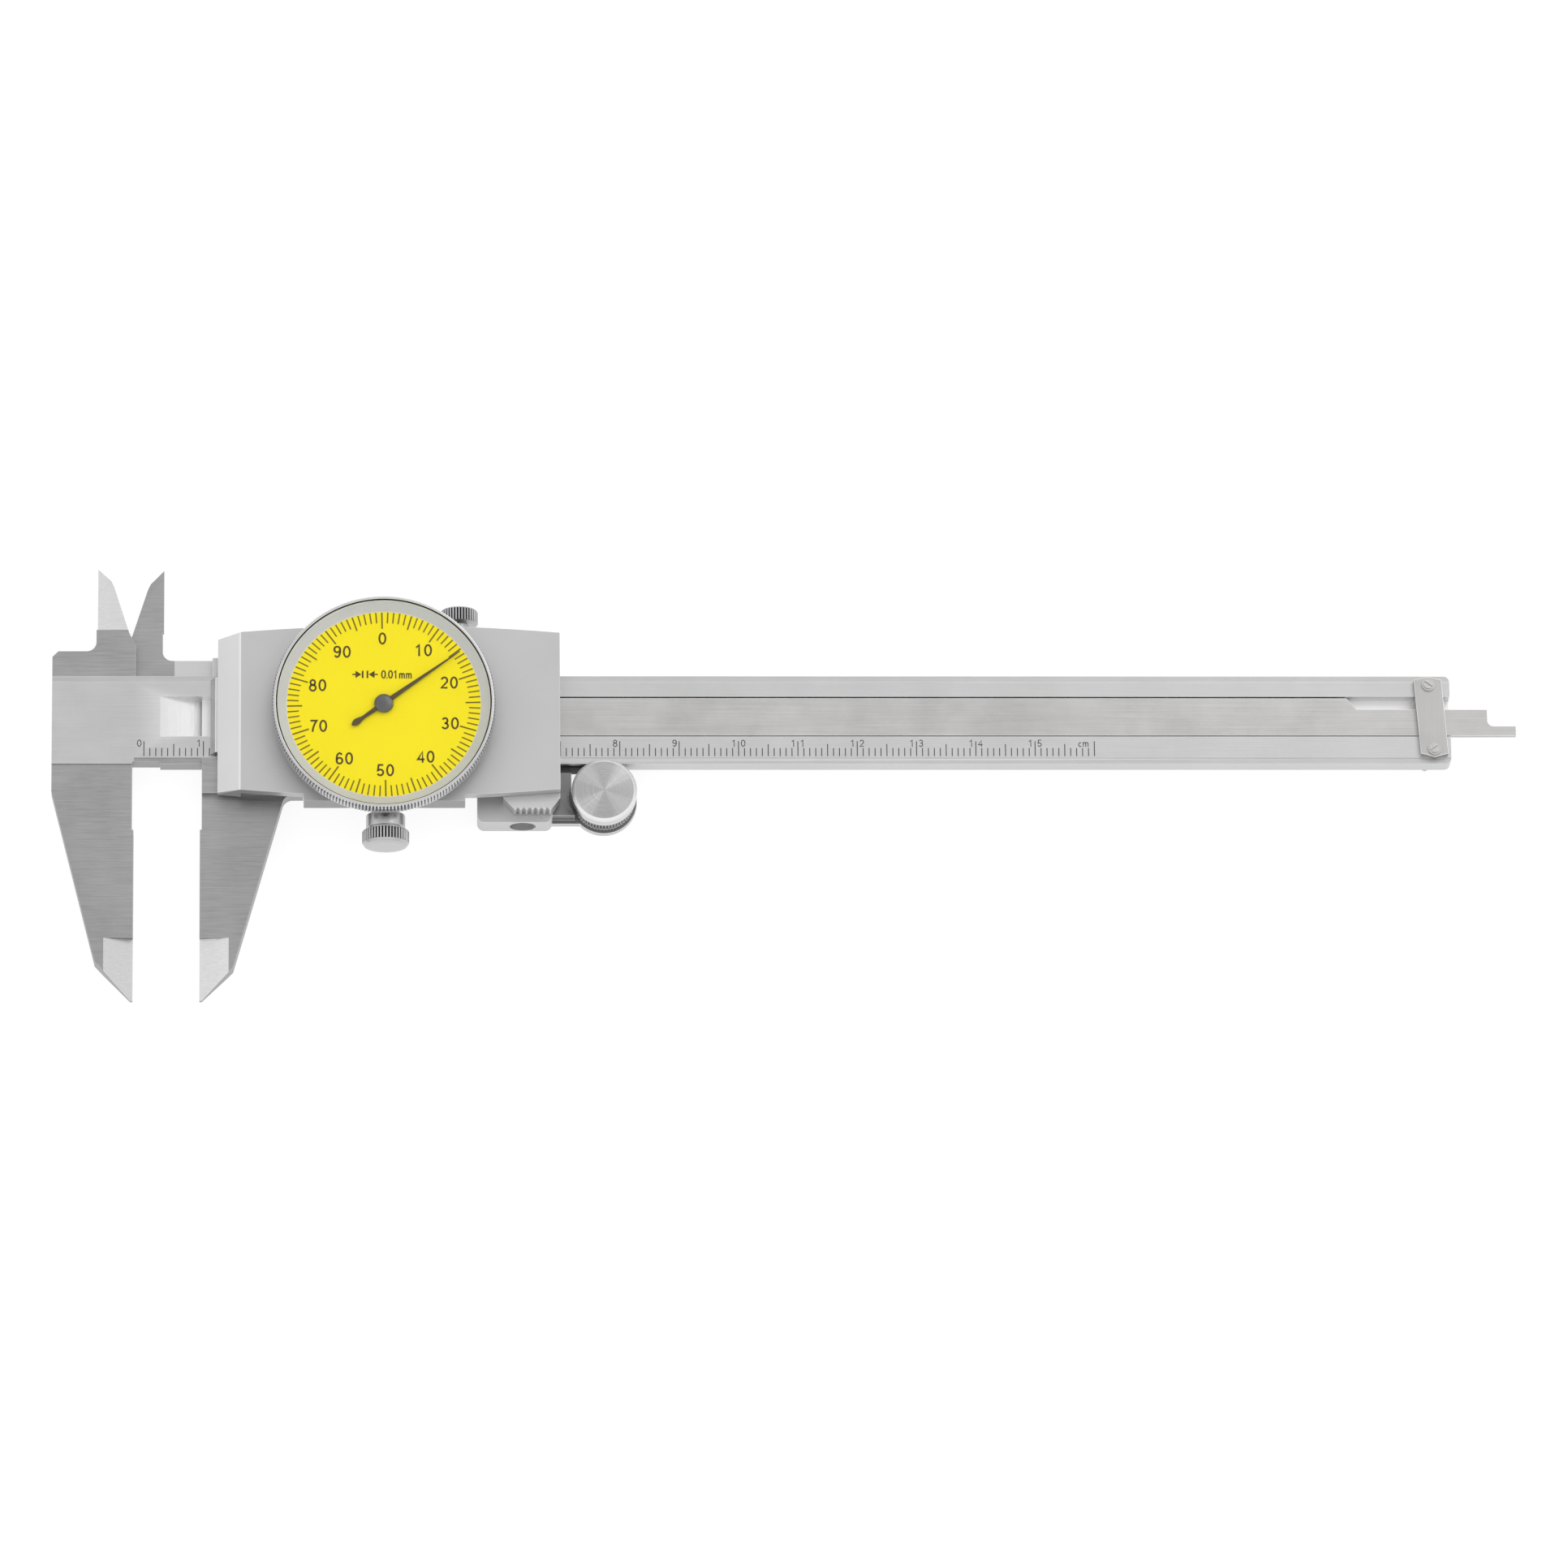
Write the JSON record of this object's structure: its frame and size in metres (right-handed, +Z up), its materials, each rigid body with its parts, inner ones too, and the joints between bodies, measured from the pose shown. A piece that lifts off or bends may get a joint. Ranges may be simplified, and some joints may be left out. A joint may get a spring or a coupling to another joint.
{
  "type": "dial caliper",
  "caption": "Dial caliper with crossed inside jaws, outside jaws, depth rod, thumb roller and a rotating yellow dial driven from a rack in the beam",
  "frame": {"origin": "centre of the bounding box in X and Y, on the plane that the slider's back plate rests on", "axes": "+X along the beam from the fixed jaw to the rod's tip, +Y towards the inside jaws, +Z up through the dial"},
  "size_m": [0.247, 0.076, 0.0155],
  "materials": {
    "beam_steel": "hardened steel, lengthwise ground, satin front",
    "frame_steel": "hardened steel, ground jaws",
    "cover_satin": "satin chromed casting, finely blasted",
    "rod_steel": "brushed lengthwise",
    "base_steel": "satin",
    "rack_steel": "hardened, milled teeth",
    "brass": "turned and cut",
    "spring_steel": "blued spring",
    "ruby": "polished jewel",
    "case_steel": "turned",
    "bezel_chrome": "polished, straight knurl",
    "reflector_grey": "matte grey",
    "dial_yellow": "matte, printed in black",
    "hand_black": "semi-matte",
    "crystal_clear": "clear",
    "knob_chrome": "satin chromed, knurled",
    "roller_steel": "turned face, knurled drum",
    "screw_steel": "slotted, polished"
  },
  "bodies": {
    "beam": {"main_beam": "beam_steel", "gear_rack": "rack_steel", "rack_screws": "screw_steel", "end_plate": "rod_steel", "end_plate_screws": "screw_steel", "rod_stop_pin": "rack_steel"},
    "slider": {"slider_frame": "frame_steel", "back_plate": "frame_steel", "back_plate_screws": "screw_steel", "gib_strip": "brass", "gib_screws": "screw_steel", "movement_base": "base_steel", "base_screws": "screw_steel", "housing_cover": "cover_satin", "cover_screws": "screw_steel", "depth_rod": "rod_steel", "rod_screws": "screw_steel", "hairspring": "spring_steel", "spring_stud": "rack_steel", "bridge_plate": "base_steel", "bridge_pillars": "base_steel", "bridge_screws": "screw_steel", "jewel_bearings": "ruby", "roller_bracket": "frame_steel", "bracket_screw": "screw_steel", "roller_axle": "rack_steel"},
    "drive": {"drive_arbor": "rack_steel", "drive_gear": "brass"},
    "hand": {"centre_arbor": "rack_steel", "pointer": "hand_black"},
    "takeup": {"takeup_gear": "brass", "takeup_arbor": "rack_steel"},
    "roller": {"thumb_roller": "roller_steel"},
    "bezel": {"dial_case": "case_steel", "retaining_ring": "case_steel", "bezel_ring": "bezel_chrome", "reflector_ring": "reflector_grey", "dial_face": "dial_yellow", "crystal": "crystal_clear"},
    "bezel_lock": {"bezel_lock_screw": "knob_chrome"},
    "slide_lock": {"slide_lock_screw": "knob_chrome"}
  },
  "joints": [
    {"name": "slider_slide", "type": "slide", "parent": "beam", "child": "slider", "axis": [1, 0, 0], "range_m": [-0.01113, 0.13885]},
    {"name": "drive_spin", "type": "hinge", "parent": "slider", "child": "drive", "pos_m": [-0.06105, 0.01095, 0.00534], "axis": [0, 0, 1], "continuous": true},
    {"name": "hand_spin", "type": "hinge", "parent": "slider", "child": "hand", "pos_m": [-0.06765, 0.01095, 0.00534], "axis": [0, 0, 1], "continuous": true},
    {"name": "takeup_spin", "type": "hinge", "parent": "slider", "child": "takeup", "pos_m": [-0.07129, 0.01305, 0.00534], "axis": [0, 0, 1], "continuous": true},
    {"name": "roller_spin", "type": "hinge", "parent": "slider", "child": "roller", "pos_m": [-0.03065, -0.00232, 0.00534], "axis": [0, 0, 1], "continuous": true},
    {"name": "bezel_turn", "type": "hinge", "parent": "slider", "child": "bezel", "pos_m": [-0.06765, 0.01095, 0.00534], "axis": [0, 0, 1], "continuous": true},
    {"name": "bezel_lock_turn", "type": "hinge", "parent": "slider", "child": "bezel_lock", "pos_m": [-0.06735, -0.00955, 0.00834], "axis": [0, -1, 0], "range_deg": [0, 360]},
    {"name": "slide_lock_turn", "type": "hinge", "parent": "slider", "child": "slide_lock", "pos_m": [-0.05495, 0.02815, 0.00359], "axis": [0, 1, 0], "range_deg": [0, 360]}
  ],
  "couplings": [
    {"joint": "drive_spin", "follows": "slider_slide", "rad_per_m": 628.32},
    {"joint": "hand_spin", "follows": "slider_slide", "rad_per_m": -6283.2},
    {"joint": "takeup_spin", "follows": "slider_slide", "rad_per_m": 1047.2},
    {"joint": "roller_spin", "follows": "slider_slide", "rad_per_m": 181.82}
  ]
}
